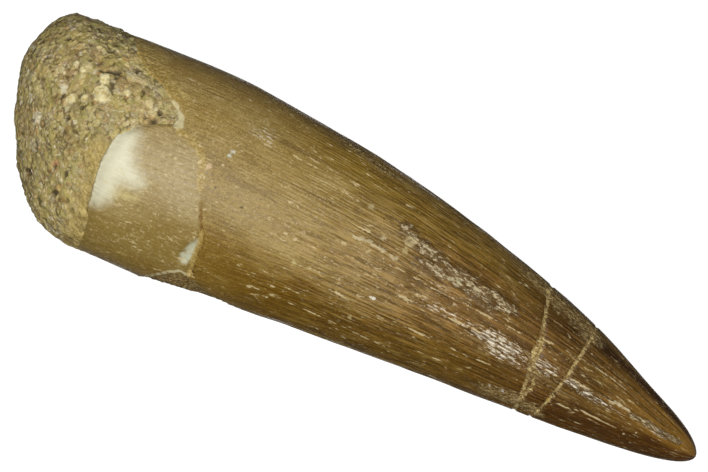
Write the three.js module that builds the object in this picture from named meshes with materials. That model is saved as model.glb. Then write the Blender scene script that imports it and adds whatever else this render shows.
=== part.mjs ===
import * as THREE from 'three';

// A fossil plesiosaur tooth that lies on its side, with sandstone in its broken root end.
// Millimetres. X runs along the tooth from the sandstone end, at 0, to the tip. Y runs across it
// and Z is up. Angles go round the tooth in degrees, from 0 along its top, positive towards +Y.
// The finished pieces are moved at the end, so that the origin is below the middle of the fossil.

// Size of the whole fossil
const LENGTH = 45;
const HALF_WIDTH = 6.3;
const HEIGHT_TO_WIDTH = 0.87;

// The tooth narrows over this length, in a curve that ends in a blunt tip
const TAPER_LENGTH = 32.4;
const TAPER_POWER = 1.11;
const BLUNTNESS = 0.57;

// The tooth is bent sideways on a wide arc, which swings out furthest here
const BEND_RADIUS = 156;
const BEND_X = 24.3;
const BEND_Y = 0.35;

// The underside is worn flat by this depth, so that the fossil rests on it
const FLAT_DEPTH = 0.12;

// The sandstone end is an oblique rounded lump, and this is its furthest point
const STONE_END_Y = 1.62;
const STONE_END_Z = 4.9;
const STONE_ROUNDNESS = 1.75;
const STONE_INSET = 0.25;

// Length over which the end rounds off: its mean round the tooth, how much longer it is on the
// top than underneath and on the +Y side than on the other, and on top and bottom than on the sides
const ROUNDING_MEAN = 5.42;
const ROUNDING_TOP = 2.03;
const ROUNDING_SIDE = -2.75;
const ROUNDING_TOP_AND_BOTTOM = 1.23;

// The hollow of the root, which the sandstone fills
const WALL_SHARE = 0.8;
const WALL_SLANT = 0.35;
const HOLLOW_TIP_X = 15;
const GAP_ALONG = 0.45;
const GAP_ACROSS = 0.05;

// Lines that run round the tooth, as [angle, x] points: the broken edge of the root,
// the crack that bounds the root chip, and the two ring cracks near the tip
const ROOT_EDGE = [
  [-180, 6.8], [-130, 7.9], [-100, 8.2], [-80, 7.6], [-65, 7.6], [-51, 7.5], [-36, 7.3], [-26, 7.1],
  [-18, 6.95], [-10, 6.85], [-1, 6.9], [5, 7.0], [9.5, 7.35], [13, 7.7], [16, 8.5], [20.5, 9.5],
  [25, 9.6], [29, 9.35], [33, 8.8], [38, 8.1], [48, 6.6], [59, 5.7], [69, 5.0], [90, 4.0], [120, 3.4],
  [150, 4.8],
];
const CHIP_CRACK = [
  [-150, 14.3], [-75, 14.2], [-59, 14.15], [-48, 14.05], [-41, 13.95], [-33, 13.9], [-26, 13.7],
  [-22, 13.4], [-16, 13.15], [-8, 12.75], [-3, 12.3], [3, 12.05], [9, 11.95], [13.5, 11.45], [16, 10.8],
  [19, 10.1], [60, 9.5], [120, 10.9],
];
const RING_CRACK_1 = [
  [-120, 34.2], [-54, 34.2], [-30, 34.0], [-13, 33.8], [0, 33.7], [8, 33.7], [17, 33.55], [29, 33.3],
  [45, 33.05], [63, 32.75], [120, 32.9], [180, 33.5],
];
const RING_CRACK_2 = [
  [-120, 35.2], [-76, 35.25], [-53, 35.5], [-37, 35.7], [-18, 35.85], [-4, 36.0], [12, 36.05],
  [26, 36.15], [50, 36.25], [120, 36.3], [180, 35.9],
];

// Stretches of the tooth between those lines, each with its number of rings. A stretch that starts
// at a crack says how wide the crack is on each side of its line, how deep, and where it is open.
const WHOLE_TURN = [-180, 180];
const STRETCHES = [
  { line: ROOT_EDGE, side: 0, depth: 0, open: [0, 0], rings: 6 },
  { line: CHIP_CRACK, side: 0.22, depth: 0.22, open: [-58, 25], rings: 15 },
  { line: RING_CRACK_1, side: 0.28, depth: 0.2, open: WHOLE_TURN, rings: 3 },
  { line: RING_CRACK_2, side: 0.16, depth: 0.14, open: WHOLE_TURN, rings: 9 },
];
const TIP_CROWDING = 1.5;

// Low lengthwise ridges of the crown, which fade out towards the root
const RIDGES = 36;
const RIDGE_HEIGHT = 0.05;
const RIDGES_START_X = 14;
const RIDGES_FULL_X = 24;

// Below the chip the surface is broken away and crusted over
const SLIVER = { angle: -78, angleReach: 22, fromX: 11.4, toX: 18.4, depth: 0.3 };

// Rough crusts on the crown, as x, angle, radius and height
const CRUSTS = [
  { x: 32.0, angle: 64, radius: 1.1, height: 0.14 },
  { x: 33.6, angle: 58, radius: 1.0, height: 0.16 },
  { x: 35.2, angle: 56, radius: 0.9, height: 0.13 },
  { x: 20.6, angle: 66, radius: 1.3, height: 0.1 },
  { x: 25.0, angle: 22, radius: 0.9, height: 0.1 },
  { x: 28.4, angle: 18, radius: 1.4, height: 0.1 },
];

// The largest lumps and the deepest hole of the sandstone, seen from above
const LARGE_LUMPS = [
  { x: 5.0, y: 1.7, radius: 1.0, height: 0.38 },
  { x: 4.3, y: 2.9, radius: 0.8, height: 0.26 },
  { x: 2.6, y: -0.6, radius: 0.9, height: 0.24 },
];
const HOLE = { x: 8.3, y: 2.2, radius: 0.75, depth: 0.5 };
const SMALL_LUMPS = 110;
const SMALL_LUMP_RADIUS = [0.5, 1.1];
const SMALL_LUMP_HEIGHT = [0.12, 0.36];

// Mesh density: each ridge has a crest and a valley, and the stone's rings crowd at its end
const AROUND = 2 * RIDGES;
const STONE_RINGS = 17;
const STONE_CROWDING = 1.6;
const HOLLOW_RINGS = 4;

// Factors of the pseudo-random numbers, which are the same on every run
const RANDOM_SEED = 7;
const RANDOM_FACTOR = 1664525;
const RANDOM_STEP = 1013904223;
const RANDOM_RANGE = 2 ** 32;

const radians = THREE.MathUtils.degToRad;
const lerp = THREE.MathUtils.lerp;
const smoothstep = THREE.MathUtils.smoothstep;

function randomSource() {
  let state = RANDOM_SEED;
  return () => {
    state = (state * RANDOM_FACTOR + RANDOM_STEP) % RANDOM_RANGE;
    return state / RANDOM_RANGE;
  };
}

// Smooth closed curve through [angle, x] points, read at any angle
function roundPath(points, angle) {
  const count = points.length;
  const turn = (value) => ((value % 360) + 360) % 360;
  let start = 0;
  for (let i = 0; i < count; i += 1) {
    const span = turn(points[(i + 1) % count][0] - points[i][0]);
    if (turn(angle - points[i][0]) < span) start = i;
  }
  const at = (offset) => points[(start + offset + count) % count];
  const span = turn(at(1)[0] - at(0)[0]);
  const share = turn(angle - at(0)[0]) / span;
  const eased = share * share * (3 - 2 * share);
  return lerp(at(0)[1], at(1)[1], lerp(share, eased, 0.5));
}

// How much of a bump of this radius is felt at this distance
function bumpShare(distance, radius) {
  const share = Math.max(0, 1 - (distance / radius) ** 2);
  return share * share;
}

// Main form of the tooth
function halfWidth(x) {
  const fromTip = Math.min((LENGTH - x) / TAPER_LENGTH, 1);
  return HALF_WIDTH * (1 - (1 - fromTip) ** TAPER_POWER) ** BLUNTNESS;
}

function centreY(x) {
  return BEND_Y - (x - BEND_X) ** 2 / (2 * BEND_RADIUS);
}

// Point at a share of the way from the middle line to the surface, raised by relief
function toothPoint(x, angle, share = 1, relief = 0) {
  const width = halfWidth(x);
  const height = width * HEIGHT_TO_WIDTH;
  const turn = radians(angle);
  const y = centreY(x) + (width * share + relief) * Math.sin(turn);
  const z = height - FLAT_DEPTH + (height * share + relief) * Math.cos(turn);
  return new THREE.Vector3(x, y, Math.max(z, 0));
}

// Relief of the tooth's surface: ridges, crusts and the broken strip below the chip
function toothRelief(x, angle) {
  const strength = smoothstep(x, RIDGES_START_X, RIDGES_FULL_X) * (halfWidth(x) / HALF_WIDTH);
  let relief = RIDGE_HEIGHT * strength * Math.cos(radians(angle) * RIDGES);
  for (const crust of CRUSTS) {
    const across = radians(angle - crust.angle) * halfWidth(x);
    relief += crust.height * bumpShare(Math.hypot(x - crust.x, across), crust.radius);
  }
  const sliverAcross = bumpShare(angle - SLIVER.angle, SLIVER.angleReach);
  const sliverMiddle = (SLIVER.fromX + SLIVER.toX) / 2;
  const sliverAlong = bumpShare(x - sliverMiddle, (SLIVER.toX - SLIVER.fromX) / 2);
  relief -= SLIVER.depth * Math.sqrt(sliverAcross * sliverAlong);
  return relief;
}

// Oblique rounded end of the sandstone
function stoneRoundingLength(angle) {
  const turn = radians(angle);
  const oneSided = ROUNDING_TOP * Math.cos(turn) + ROUNDING_SIDE * Math.sin(turn);
  return ROUNDING_MEAN + oneSided + ROUNDING_TOP_AND_BOTTOM * Math.cos(2 * turn);
}

function stonePoint(x, angle) {
  const along = Math.min(x / stoneRoundingLength(angle), 1);
  const power = STONE_ROUNDNESS;
  const share = (1 - (1 - along) ** power) ** (1 / power);
  const outer = toothPoint(x, angle, 1 - STONE_INSET / HALF_WIDTH);
  const end = new THREE.Vector3(x, STONE_END_Y, STONE_END_Z);
  return end.lerp(outer, share);
}

// Closed solid from rings of points between two end points, both given in order along +X
function solidFromRings(firstPoint, rings, lastPoint) {
  const around = rings[0].length;
  const points = [firstPoint, ...rings.flat(), lastPoint];
  const corner = (ring, i) => 1 + ring * around + (i % around);
  const faces = [];
  for (let i = 0; i < around; i += 1) {
    faces.push(0, corner(0, i), corner(0, i + 1));
    for (let ring = 0; ring + 1 < rings.length; ring += 1) {
      faces.push(corner(ring, i), corner(ring + 1, i), corner(ring + 1, i + 1));
      faces.push(corner(ring, i), corner(ring + 1, i + 1), corner(ring, i + 1));
    }
    faces.push(corner(rings.length - 1, i), points.length - 1, corner(rings.length - 1, i + 1));
  }
  const geometry = new THREE.BufferGeometry().setFromPoints(points);
  geometry.setIndex(faces);
  geometry.computeVertexNormals();
  return geometry;
}

function ringOf(pointAt) {
  const ring = [];
  for (let i = 0; i < AROUND; i += 1) {
    ring.push(pointAt((i * 360) / AROUND));
  }
  return ring;
}

// Rings of the hollow's wall, from its tip out to the broken edge. The tooth's own wall has no
// inset, and the sandstone's face keeps clear of it.
function hollowRings(gapAlong, gapAcross) {
  const rings = [];
  for (let i = 1; i <= HOLLOW_RINGS; i += 1) {
    const share = (WALL_SHARE * i) / HOLLOW_RINGS;
    rings.push(ringOf((angle) => {
      const edge = roundPath(ROOT_EDGE, angle) + WALL_SLANT;
      const x = lerp(HOLLOW_TIP_X, edge, share / WALL_SHARE) - gapAlong;
      return toothPoint(x, angle, Math.max(share - gapAcross, 0));
    }));
  }
  return rings;
}

// Rings of the tooth's outside from the broken edge to near the tip. Each crack has a ring on
// each side and a sunk ring in its middle.
function toothOutside() {
  const rings = [];
  const outside = (x, angle, sunk) => toothPoint(x, angle, 1, toothRelief(x, angle) - sunk);
  STRETCHES.forEach((stretch, index) => {
    const next = STRETCHES[index + 1];
    const { line, side, depth, open } = stretch;
    if (side > 0) {
      rings.push(ringOf((angle) => {
        const signed = angle > 180 ? angle - 360 : angle;
        const isOpen = signed >= open[0] && signed <= open[1];
        return outside(roundPath(line, angle), angle, isOpen ? depth : 0);
      }));
    }
    const lastRing = next ? stretch.rings : stretch.rings - 1;
    for (let i = 0; i <= lastRing; i += 1) {
      const share = i / stretch.rings;
      const eased = next ? share : 1 - (1 - share) ** TIP_CROWDING;
      rings.push(ringOf((angle) => {
        const start = roundPath(line, angle) + side;
        const end = next ? roundPath(next.line, angle) - next.side : LENGTH;
        return outside(lerp(start, end, eased), angle, 0);
      }));
    }
  });
  return rings;
}

function makeTooth() {
  const hollowTip = toothPoint(HOLLOW_TIP_X, 0, 0);
  const tip = toothPoint(LENGTH, 0, 0);
  const rings = [...hollowRings(0, 0), ...toothOutside()];
  return solidFromRings(hollowTip, rings, tip);
}

// Lumps of the sandstone: the large ones where they are, and small ones scattered over it
function stoneLumps(surface) {
  const random = randomSource();
  const between = ([low, high]) => lerp(low, high, random());
  const onTop = ({ x, y }) => {
    const above = surface.filter((point) => point.z > STONE_END_Z);
    const distance = (point) => Math.hypot(point.x - x, point.y - y);
    return above.reduce((best, point) => (distance(point) < distance(best) ? point : best));
  };
  const lumps = LARGE_LUMPS.map((lump) => ({ ...lump, centre: onTop(lump) }));
  lumps.push({ centre: onTop(HOLE), radius: HOLE.radius, height: -HOLE.depth });
  for (let i = 0; i < SMALL_LUMPS; i += 1) {
    const centre = surface[Math.floor(random() * surface.length)];
    lumps.push({ centre, radius: between(SMALL_LUMP_RADIUS), height: between(SMALL_LUMP_HEIGHT) });
  }
  return lumps;
}

function stoneOutside() {
  const rings = [];
  for (let ring = 1; ring <= STONE_RINGS; ring += 1) {
    const share = (ring / STONE_RINGS) ** STONE_CROWDING;
    rings.push(ringOf((angle) => {
      const edge = roundPath(ROOT_EDGE, angle) - GAP_ALONG;
      return stonePoint(edge * share, angle);
    }));
  }
  return rings;
}

function makeMatrix() {
  const smooth = stoneOutside();
  const lumps = stoneLumps(smooth.flat());
  const core = new THREE.Vector3(HOLLOW_TIP_X / 2, STONE_END_Y, STONE_END_Z);
  const raise = (point) => {
    const outward = point.clone().sub(core).normalize();
    let height = 0;
    for (const lump of lumps) {
      const felt = bumpShare(point.distanceTo(lump.centre), lump.radius) * lump.height;
      height = lump.height < 0 ? height + felt : Math.max(height, felt);
    }
    const raised = point.clone().addScaledVector(outward, height);
    raised.z = Math.max(raised.z, 0);
    return raised;
  };
  const rough = smooth.map((ring) => ring.map(raise));
  const end = new THREE.Vector3(0, STONE_END_Y, STONE_END_Z);
  const inner = hollowRings(GAP_ALONG, GAP_ACROSS).reverse();
  const innerTip = toothPoint(HOLLOW_TIP_X - 2 * GAP_ALONG, 0, 0);
  return solidFromRings(end, [...rough, ...inner], innerTip);
}

function makePiece(name, geometry, colour, roughness) {
  const material = new THREE.MeshStandardMaterial({ color: colour, roughness, metalness: 0 });
  const mesh = new THREE.Mesh(geometry, material);
  mesh.name = name;
  return mesh;
}

const tooth = makePiece('tooth', makeTooth(), 0x8c7342, 0.45);
const matrix = makePiece('matrix', makeMatrix(), 0xa39463, 0.95);

const fossil = new THREE.Group();
fossil.add(tooth, matrix);

// Move the origin below the middle of the fossil, on the surface it lies on
const box = new THREE.Box3().setFromObject(fossil, true);
const middle = box.getCenter(new THREE.Vector3());
for (const piece of [tooth, matrix]) {
  piece.position.set(-middle.x, -middle.y, -box.min.z);
}

export default fossil;
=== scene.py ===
"""A fossil plesiosaur tooth lying on a pale floor, with grainy sandstone in its broken root end."""

import math

import bpy
import numpy as np
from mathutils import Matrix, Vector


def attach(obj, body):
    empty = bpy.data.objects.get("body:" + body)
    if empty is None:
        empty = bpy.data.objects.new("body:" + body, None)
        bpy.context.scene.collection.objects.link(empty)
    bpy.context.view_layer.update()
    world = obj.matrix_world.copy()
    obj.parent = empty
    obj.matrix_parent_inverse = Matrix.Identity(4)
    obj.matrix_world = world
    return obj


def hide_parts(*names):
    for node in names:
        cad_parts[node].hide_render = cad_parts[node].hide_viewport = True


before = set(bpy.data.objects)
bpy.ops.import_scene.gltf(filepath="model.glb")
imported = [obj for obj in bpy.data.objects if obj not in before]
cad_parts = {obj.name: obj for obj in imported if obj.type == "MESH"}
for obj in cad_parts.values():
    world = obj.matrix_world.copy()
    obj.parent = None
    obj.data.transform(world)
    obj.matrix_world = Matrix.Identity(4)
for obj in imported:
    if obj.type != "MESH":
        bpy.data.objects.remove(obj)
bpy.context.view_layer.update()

# Lengths are in millimetres until a mesh is made. X runs along the tooth from the sandstone end,
# at 0, to the tip. Angles go round the tooth in degrees from 0 along its top, positive towards +Y.
MM = 0.001

# Main form, as in the solid model, with the sandstone's end rounded a little closer to the photo
LENGTH = 45.0
HALF_WIDTH = 6.3
HEIGHT_TO_WIDTH = 0.87
TAPER_LENGTH = 32.4
TAPER_POWER = 1.11
BLUNTNESS = 0.57
BEND_RADIUS = 156.0
BEND_X = 24.3
BEND_Y = 0.35
FLAT_DEPTH = 0.12
STONE_END_Y = 1.62
STONE_END_Z = 4.9
STONE_ROUNDNESS = 1.7
STONE_ROUNDNESS_SIDE = 0.27
STONE_INSET = 0.22
ROUNDING_MEAN = 5.1
ROUNDING_TOP = 2.03
ROUNDING_SIDE = -2.2
ROUNDING_TOP_AND_BOTTOM = 1.23
HOLLOW_TIP_X = 15.0
WALL_SHARE = 0.8
WALL_SLANT = 0.35

# The sandstone's hidden face keeps clear of the hollow, and its outside runs in under the tooth's edge
STONE_TIP_X = 14.1
STONE_SHARE = 0.7
STONE_SLANT = 0.3
STONE_OVERLAP = 0.22

# Lines that run round the tooth, as (angle, x) points
ROOT_EDGE = [
    (-180, 6.8), (-130, 7.9), (-100, 8.2), (-80, 7.6), (-63.5, 7.6), (-49, 7.5), (-34.5, 7.3),
    (-24.5, 7.1), (-16.5, 6.95), (-8.5, 6.85), (0.5, 6.9), (6.5, 7.0), (11, 7.35), (14.5, 7.7),
    (17.5, 8.5), (22, 9.5), (26.5, 9.6), (30.5, 9.35), (34.5, 8.8), (40, 8.1), (50, 6.6), (61, 5.7),
    (70, 5.0), (90, 4.0), (120, 3.4), (150, 4.8),
]
CHIP_CRACK = [
    (-150, 14.3), (-75, 14.2), (-57, 14.15), (-46, 14.05), (-39, 13.95), (-31.5, 13.9), (-24.5, 13.7),
    (-20.5, 13.4), (-14.5, 13.15), (-6.5, 12.75), (-1.5, 12.3), (4.5, 12.05), (10.5, 11.95), (15, 11.45),
    (17.5, 10.8), (20.5, 10.1), (62, 9.5), (120, 10.9),
]
RING_CRACK_1 = [
    (-120, 34.2), (-54, 34.2), (-30, 34.0), (-13, 33.8), (0, 33.7), (8, 33.7), (17, 33.55), (29, 33.3),
    (45, 33.05), (63, 32.75), (120, 32.9), (180, 33.5),
]
RING_CRACK_2 = [
    (-120, 35.2), (-76, 35.25), (-53, 35.5), (-37, 35.7), (-18, 35.85), (-4, 36.0), (12, 36.05),
    (26, 36.15), (50, 36.25), (120, 36.3), (180, 35.9),
]

# Mesh density of the tooth: rings at these distances from each line, and between the lines
AROUND = 640
NEAR_EDGE = (0.0, 0.08, 0.16, 0.26, 0.38, 0.52)
NEAR_CRACK = (-0.45, -0.3, -0.2, -0.12, -0.05, 0.02, 0.1, 0.18, 0.28, 0.42)
NEAR_THIN_CRACK = (-0.25, -0.15, -0.07, 0.0, 0.07, 0.15, 0.25)
STRETCHES = (
    (ROOT_EDGE, NEAR_EDGE, 20),
    (CHIP_CRACK, NEAR_CRACK, 50),
    (RING_CRACK_1, NEAR_CRACK, 4),
    (RING_CRACK_2, NEAR_THIN_CRACK, 30),
)
TIP_CROWDING = 1.6
LEAST_SPACING = 0.02
HOLLOW_RINGS = 3
RIM_RINGS = 5

STONE_AROUND = 480
STONE_RINGS = 186
STONE_CROWDING = 1.25


# Pseudo-random fields, the same on every run

def hashed(cells, seed):
    """A number from 0 to 1 for each whole-number cell."""
    parts = cells.astype(np.int64).astype(np.uint64)
    mixed = parts[..., 0] * np.uint64(0x9E3779B1)
    mixed ^= parts[..., 1] * np.uint64(0x85EBCA77)
    mixed ^= parts[..., 2] * np.uint64(0xC2B2AE3D)
    mixed += np.uint64(seed * 0x27D4EB2F)
    mixed &= np.uint64(0xFFFFFFFF)
    for shift in (15, 13, 16):
        mixed ^= mixed >> np.uint64(shift)
        mixed = (mixed * np.uint64(0x2C1B3C6D)) & np.uint64(0xFFFFFFFF)
    mixed ^= mixed >> np.uint64(16)
    return mixed.astype(np.float64) / 0xFFFFFFFF


def noise(points, size, seed):
    """Smooth noise from -1 to 1, with features of about this size."""
    scaled = points / size
    low = np.floor(scaled)
    part = scaled - low
    part = part * part * (3 - 2 * part)
    total = 0.0
    for corner in np.ndindex(2, 2, 2):
        step = np.array(corner)
        weight = np.prod(np.where(step, part, 1 - part), axis=-1)
        total = total + weight * hashed(low + step, seed)
    return total * 2 - 1


def cloudy(points, size, seed, octaves=3):
    """Noise of several sizes together."""
    total = 0.0
    for octave in range(octaves):
        total = total + noise(points, size / 2**octave, seed + octave) / 2**octave
    return total


def grains(points, size, seed):
    """Distance to the nearest grain centre, and that grain's number."""
    scaled = points / size
    low = np.floor(scaled)
    nearest = np.full(points.shape[:-1], 9.0)
    number = np.zeros(points.shape[:-1])
    for corner in np.ndindex(3, 3, 3):
        cell = low + np.array(corner) - 1
        centre = cell + np.stack([hashed(cell, seed + axis) for axis in range(3)], axis=-1)
        distance = np.linalg.norm(scaled - centre, axis=-1)
        closer = distance < nearest
        number = np.where(closer, hashed(cell, seed + 7), number)
        nearest = np.where(closer, distance, nearest)
    return nearest, number


def smooth(value, low, high):
    """0 below low, 1 above high, and a smooth rise between. It falls if low is above high."""
    share = np.clip((value - low) / (high - low), 0, 1)
    return share * share * (3 - 2 * share)


# Main form

def half_width(x):
    from_tip = np.clip((LENGTH - x) / TAPER_LENGTH, 0, 1)
    return HALF_WIDTH * (1 - (1 - from_tip) ** TAPER_POWER) ** BLUNTNESS


def centre_y(x):
    return BEND_Y - (x - BEND_X) ** 2 / (2 * BEND_RADIUS)


def tooth_point(x, angle, share=1.0, relief=0.0):
    """Point at a share of the way from the middle line to the surface, raised by relief."""
    width = half_width(x)
    height = width * HEIGHT_TO_WIDTH
    turn = np.radians(angle)
    y = centre_y(x) + (width * share + relief) * np.sin(turn)
    z = height - FLAT_DEPTH + (height * share + relief) * np.cos(turn)
    return np.stack([x + 0 * turn, y, np.maximum(z, 0)], axis=-1)


def round_path(points, angle):
    """Smooth closed curve through (angle, x) points, read at any angles."""
    knots = sorted(points)
    knots = [(knots[-1][0] - 360, knots[-1][1]), *knots, (knots[0][0] + 360, knots[0][1])]
    knot_angles, knot_x = np.array(knots, float).T
    angle = (angle + 180) % 360 - 180
    start = np.clip(np.searchsorted(knot_angles, angle, side="right") - 1, 0, len(knots) - 2)
    share = (angle - knot_angles[start]) / (knot_angles[start + 1] - knot_angles[start])
    eased = (share + share * share * (3 - 2 * share)) / 2
    return knot_x[start] + (knot_x[start + 1] - knot_x[start]) * eased


def stone_point(x, angle, inset):
    """Point of the sandstone's oblique rounded end, before its lumps and grains."""
    turn = np.radians(angle)
    one_sided = ROUNDING_TOP * np.cos(turn) + ROUNDING_SIDE * np.sin(turn)
    rounding = ROUNDING_MEAN + one_sided + ROUNDING_TOP_AND_BOTTOM * np.cos(2 * turn)
    along = np.clip(x / rounding, 0, 1)
    roundness = STONE_ROUNDNESS + STONE_ROUNDNESS_SIDE * np.sin(turn)
    share = (1 - (1 - along) ** roundness) ** (1 / roundness)
    outer = tooth_point(x, angle, 1 - inset / HALF_WIDTH)
    end = np.stack([x, np.full_like(x, STONE_END_Y), np.full_like(x, STONE_END_Z)], axis=-1)
    return end + (outer - end) * share[..., None]


# Places on the tooth's surface, laid out flat as (x, distance round it)

def laid_out(x, angle):
    return np.stack([x, half_width(x) * np.radians(angle)], axis=-1)


def line_distance(x, angle, points):
    """Distance in millimetres from a line of (x, angle) points."""
    places = laid_out(x, angle)
    corners = [laid_out(*point) for point in points]
    nearest = np.full(x.shape, 99.0)
    for start, end in zip(corners, corners[1:]):
        run = end - start
        share = np.clip(((places - start) @ run) / (run @ run), 0, 1)
        away = np.linalg.norm(places - (start + share[..., None] * run), axis=-1)
        nearest = np.minimum(nearest, away)
    return nearest


def inside(x, angle, points):
    """Distance in millimetres inside an outline of (x, angle) points, negative outside it."""
    places = laid_out(x, angle)
    corners = np.array([laid_out(*point) for point in points])
    within = np.zeros(x.shape, bool)
    for start, end in zip(corners, np.roll(corners, -1, axis=0)):
        crosses = (start[1] > places[..., 1]) != (end[1] > places[..., 1])
        rise = end[1] - start[1]
        at = start[0] + (places[..., 1] - start[1]) * (end[0] - start[0]) / (rise if rise else 1)
        within ^= crosses & (places[..., 0] < at)
    edge = line_distance(x, angle, [*points, points[0]])
    return np.where(within, edge, -edge)


def patch(x, angle, points, sharpness):
    """1 well inside an outline, 0.5 at its edge and 0 well outside it."""
    return 0.5 + np.clip(inside(x, angle, points) * sharpness, -0.5, 0.5)


def on_skin(x, angle):
    """Places in space on the unbent tooth's plain form, for noise."""
    turn = np.radians(angle)
    width = half_width(x)
    return np.stack([x, width * np.sin(turn), width * np.cos(turn)], axis=-1)


# Marks on the tooth, read from the photograph, as (x, angle) points

CHIP_WORN_EDGE = [
    (7.7, 14), (6.7, 11), (6.6, 6.5), (6.5, 0.5), (6.5, -8.5), (6.6, -16.5), (6.8, -24.5), (7, -31.5),
    (7.4, -37), (7.9, -35.5), (8.35, -29), (8.5, -22.5), (8.4, -18), (9.4, -17), (9.7, -13.5),
    (9.2, -8.5), (8.6, -4), (8.3, 2.5), (8.2, 9.5),
]
CHIP_CREAM = [(6.7, -17.5), (8.5, -17.5), (9.8, -19.5), (9.9, -24.5), (8.6, -28.5), (6.9, -27.5)]
PALE_RIM = [
    (8.3, 38.5), (9, 35.5), (9.6, 31), (9.95, 26.5), (10.15, 21.5), (9.85, 19), (9.45, 21), (9.5, 24.5),
    (9.35, 29), (8.85, 33), (8.2, 37.5),
]
GLASSY_PATCH = [
    (13.75, -29.5), (13.4, -36), (13.2, -43), (13.35, -49.5), (13.8, -50.5), (13.9, -43), (13.9, -34),
]
CHIP_LOWER_EDGE = [(14.1, -58.5), (13.65, -56), (13.1, -60.5), (12.5, -68.5), (11.9, -82)]
SLIVER = [
    (14.4, -60.5), (13.7, -58), (13.1, -62.5), (12.4, -72), (11.8, -84), (11.4, -100), (12.5, -118),
    (16, -122), (18, -108), (18.6, -92), (17.3, -83), (15.8, -72),
]
CRACK_OCHRE = [(10.05, 19), (10.8, 17.5), (11.45, 15), (11.9, 10.5), (12.15, 5), (12.5, -3)]
CRACK_BROWN = [(12.5, -4), (12.75, -7), (13.15, -14.5), (13.4, -20.5), (13.7, -24.5)]
CRACK_LOWER = [(13.7, -24.5), (13.9, -31.5), (13.95, -39), (14.05, -46), (14.15, -57.5)]
PALE_LINES = [
    [(17.35, -47.5), (19.7, -50), (22.5, -51.5), (25.9, -56)],
    [(17.1, 28.5), (19.1, 29.5), (20.8, 29)], [(16.9, 39), (18.2, 39), (20.2, 38.5)],
    [(16.5, 34.5), (17.9, 35)], [(18.2, 52), (19.4, 52.5)], [(17.8, 46), (18.4, 46)],
    [(21.1, 14.5), (22.4, 15)], [(21.0, -28), (22.5, -29), (23.9, -31.5)], [(19.6, -39), (20.2, -39.5)],
    [(22.8, 2), (24.7, 3.5), (26.6, 2.5), (29.4, 4.5), (32.7, 7.5)],
    [(25.2, -12), (27.5, -11), (30.4, -9), (31.7, -7)],
    [(25.4, -30.5), (28.1, -31), (30.2, -31.5), (31.9, -29.5)],
    [(33.75, 13.5), (34.5, 15.5), (35.5, 17)],
    [(36.2, 19.5), (37.9, 21.5), (39.1, 23), (40.0, 23)],
    [(36.2, -4), (37.3, -4), (38.5, -3), (40.1, 0.5)],
    [(35.9, -38), (36.6, -37), (37.9, -32), (40.1, -33)],
    [(36.6, 52), (37.5, 57)], [(16.9, -40), (17.3, -40), (17.7, -34)],
]
PALE_LINE_REACH = 0.042
LUMPY_STREAKS = [[(21.6, 9), (22.6, 9.5), (24.0, 8.5)], [(38.9, -2), (40.1, 0.5)]]
LUMPY_REACH = 0.12
CRUST_PATCHES = [
    ([(23.9, 29.5), (24.8, 25), (26.8, 21.5), (28.9, 20.5), (31.4, 21.5)], 0.42),
    ([(25.5, 14), (28.5, 14.5), (30.5, 14)], 0.3),
    ([(40.3, -5), (41.2, -0.5), (42.2, -0.5), (43.6, 5)], 0.16),
]
ROUGH_PATCHES = [
    ([(18.9, 70), (20.3, 67.5), (21.5, 66)], 0.45),
    ([(31.4, 72), (32.8, 65), (34.2, 62), (35.5, 59), (36.3, 53.5)], 0.75),
    ([(32.2, -59.5), (34.0, -56.5), (35.3, -61.5)], 0.6),
]
SECOND_STRAND = [(34.0, -12.5), (34.4, -18.5), (34.45, -32), (34.3, -46)]

# Places with many pale flecks, partly pale crumbs and partly painted glints, as x, angle, reach along
# the tooth, reach round it, strength
FLECK_AND_GLINT_PATCHES = [
    (31.6, -9, 2.6, 0.7, 1.0), (32.3, -17.5, 1.8, 0.5, 0.9), (28.6, -8, 3.4, 0.45, 0.8),
    (34.7, -9, 1.0, 0.5, 1.0), (37.6, -9.5, 2.6, 0.35, 1.0), (42, -2, 1.9, 0.28, 1.0),
    (28.5, 9, 5, 1.1, 0.55), (14.2, 38, 1.5, 1.2, 0.8), (17.5, 4.5, 3.5, 2.2, 0.5),
    (30, -25.5, 4, 0.8, 0.35), (22, 2, 4.5, 1.6, 0.4),
]

# Small spots on the tooth, as x, angle, radius and colour on screen
SPOTS = [
    (24.5, 23, 0.33, (186, 168, 122)), (22.95, 16, 0.15, (190, 178, 138)),
    (24.4, 15.5, 0.17, (176, 158, 104)), (27.5, 15.5, 0.15, (206, 196, 150)),
    (27.95, 16, 0.16, (206, 196, 150)), (21.55, 30, 0.17, (178, 162, 118)),
    (19.1, -21, 0.14, (196, 180, 124)), (24.1, -21.5, 0.1, (240, 234, 214)),
    (23.9, -21.5, 0.09, (226, 216, 190)), (13.25, 21, 0.13, (214, 220, 210)),
    (13.15, 18, 0.1, (198, 204, 190)), (12.4, 8, 0.16, (206, 178, 142)),
    (33.1, -50.5, 0.12, (218, 208, 190)), (32.3, -51, 0.09, (206, 196, 176)),
    # The two pale spots near the tip, at x 40.5 and 41.1, are painted glints
    (40.5, -36.5, 0.07, (204, 188, 150)), (41.1, -25, 0.06, (204, 188, 150)),
    (35.65, -37.5, 0.14, (186, 156, 84)), (35.2, -72, 0.2, (140, 96, 34)),
    (23.4, -41.5, 0.12, (178, 160, 110)), (14.2, -55.5, 0.13, (214, 186, 116)),
    (35.8, -28, 0.09, (44, 39.5, 10)), (35.75, -31, 0.08, (52, 34, 14)),
    (13.3, -0.5, 0.07, (84, 64, 34)), (13.85, -4.5, 0.06, (70, 52, 26)),
    (15.1, -4.5, 0.08, (52, 38, 20)), (14.3, -48.5, 0.09, (54, 40, 20)),
    (14.3, -53, 0.1, (62, 44, 20)), (14.15, -34, 0.07, (72, 52, 24)),
    (31.2, 19, 0.08, (40, 32.5, 16)),
]


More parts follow.
